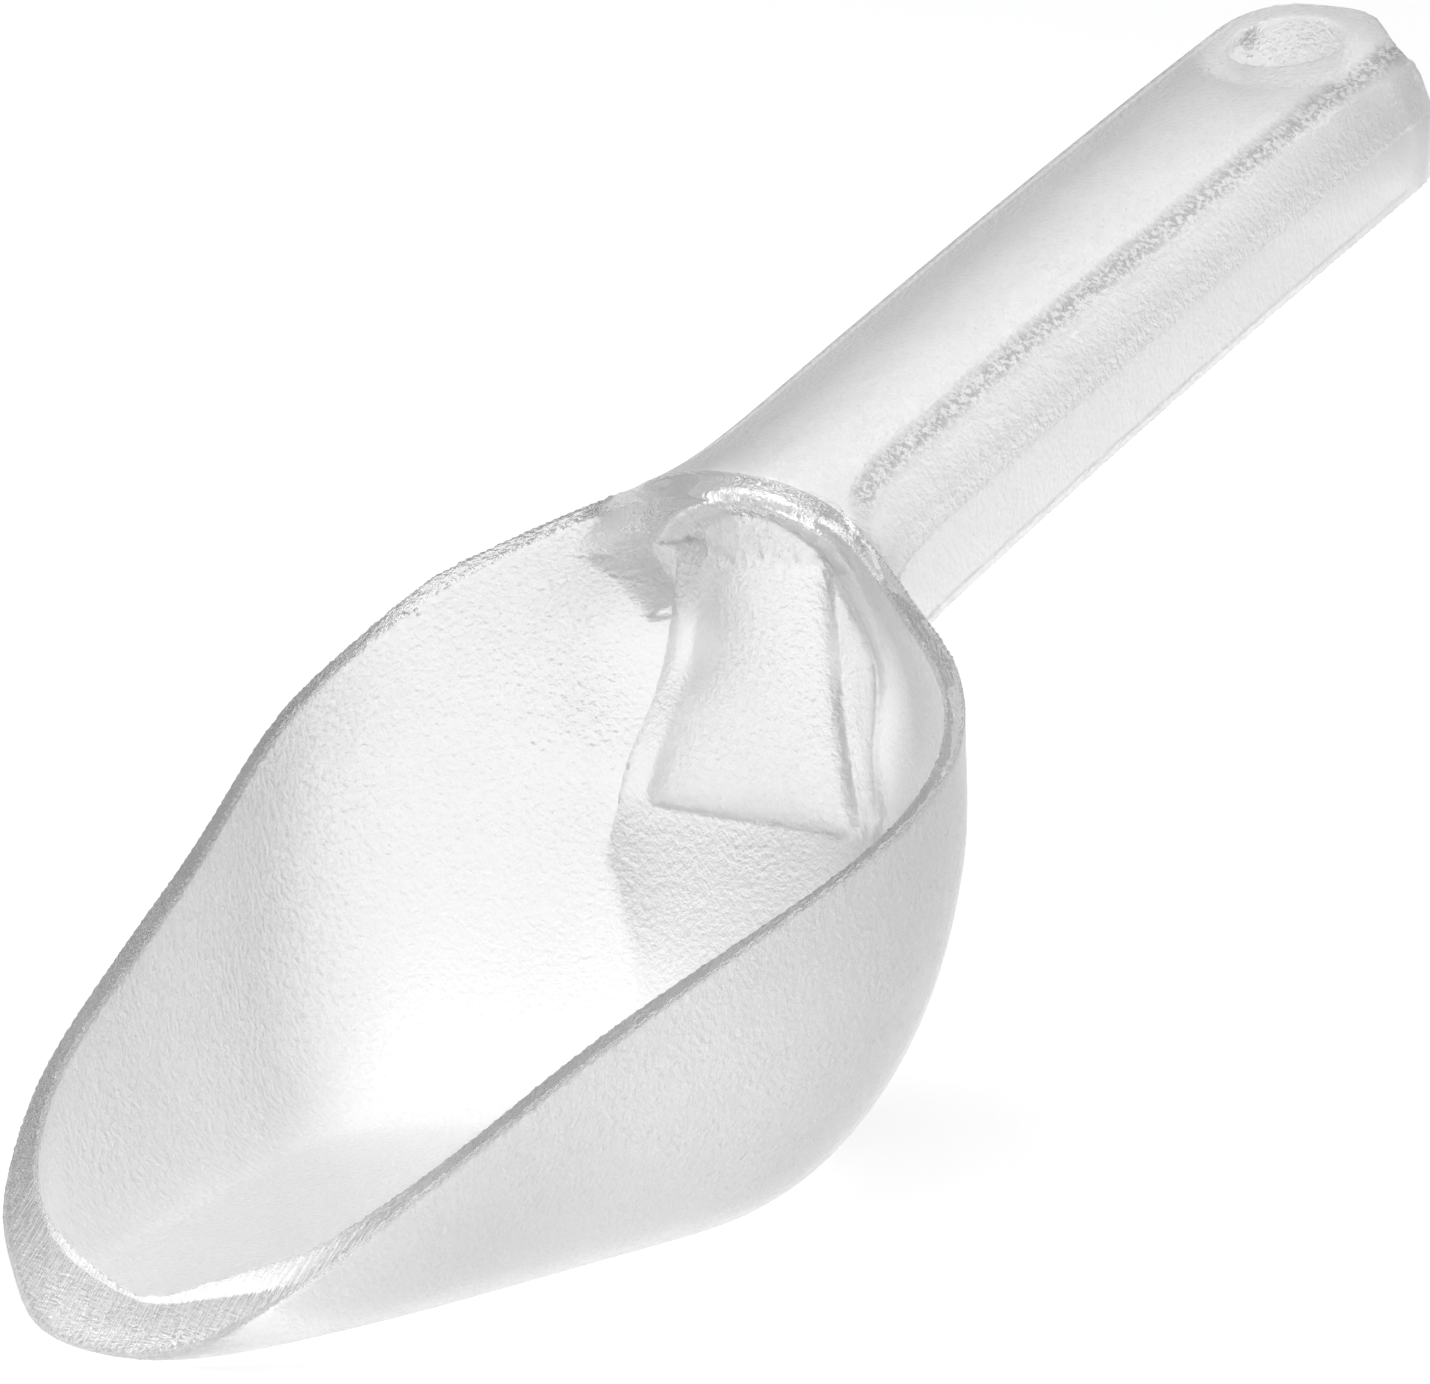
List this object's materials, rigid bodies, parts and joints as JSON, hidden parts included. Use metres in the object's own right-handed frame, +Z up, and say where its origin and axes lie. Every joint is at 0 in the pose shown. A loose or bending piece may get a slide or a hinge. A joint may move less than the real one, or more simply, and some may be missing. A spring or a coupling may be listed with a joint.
{
  "type": "ice scoop",
  "caption": "Clear moulded bar ice scoop: a tapered open bowl with a bevelled tip, a closed ramp at its back and a raised hollow handle with a hang hole.",
  "frame": {"origin": "centre of the bowl's flat foot, on the surface that the scoop rests on", "axes": "+X along the scoop from the scooping tip to the end of the handle, +Y across it, +Z up, square to the foot"},
  "size_m": [0.2309, 0.08, 0.0996],
  "materials": {
    "clear_polycarbonate": "frosted outside, glossy on the rim and inside"
  },
  "bodies": {
    "root": {"bowl": "clear_polycarbonate", "thumb_ramp": "clear_polycarbonate", "handle": "clear_polycarbonate", "handle_end": "clear_polycarbonate"}
  },
  "joints": []
}
